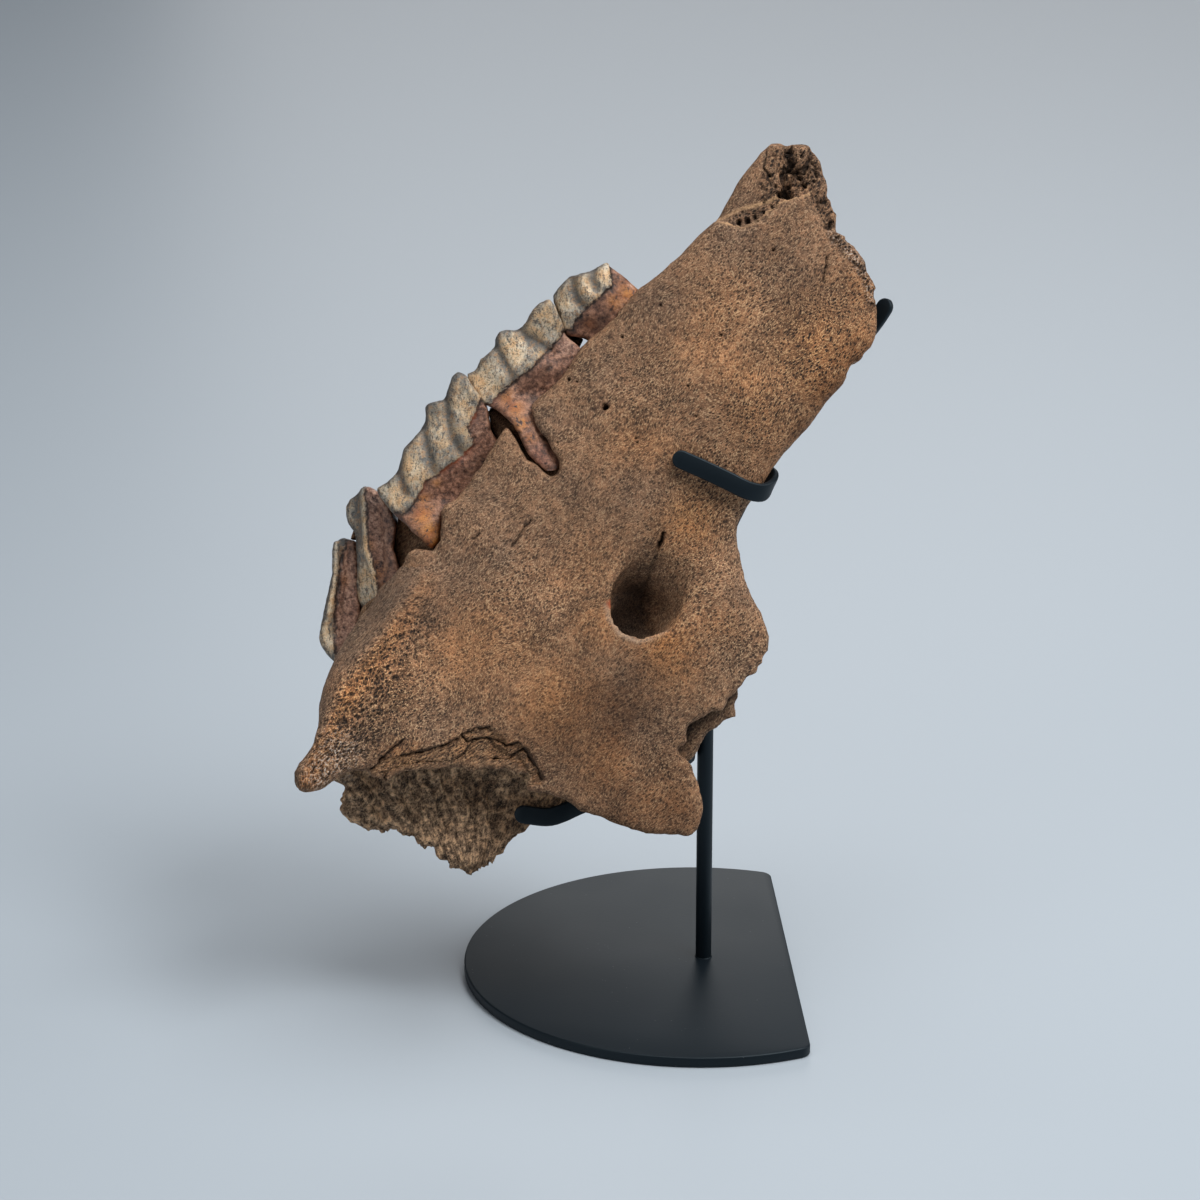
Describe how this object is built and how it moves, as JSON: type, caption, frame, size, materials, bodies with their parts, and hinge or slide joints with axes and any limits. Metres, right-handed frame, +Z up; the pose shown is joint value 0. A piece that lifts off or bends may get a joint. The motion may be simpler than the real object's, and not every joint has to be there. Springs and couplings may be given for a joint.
{
  "type": "fossil woolly rhino maxilla",
  "caption": "Broken left upper jaw bone of a woolly rhinoceros with its cheek teeth still in place, held upright by bent bars on a flat, partly rounded steel display stand.",
  "frame": {"origin": "on the surface that the stand rests on, under the middle of the whole object's box", "axes": "+Z up; +X to the right and -Y towards the viewer who sees the outer face of the bone"},
  "size_m": [0.2222, 0.1774, 0.3117],
  "materials": {
    "fossil_bone": "matte",
    "fossil_tooth": "satin",
    "black_powder_coat": "satin"
  },
  "bodies": {
    "root": {"maxilla": "fossil_bone", "premolar_2": "fossil_tooth", "premolar_3": "fossil_tooth", "premolar_4": "fossil_tooth", "molar_1": "fossil_tooth", "molar_2": "fossil_tooth", "base_plate": "black_powder_coat", "upright": "black_powder_coat", "upper_prong": "black_powder_coat", "side_strap": "black_powder_coat", "lower_hook": "black_powder_coat"}
  },
  "joints": []
}
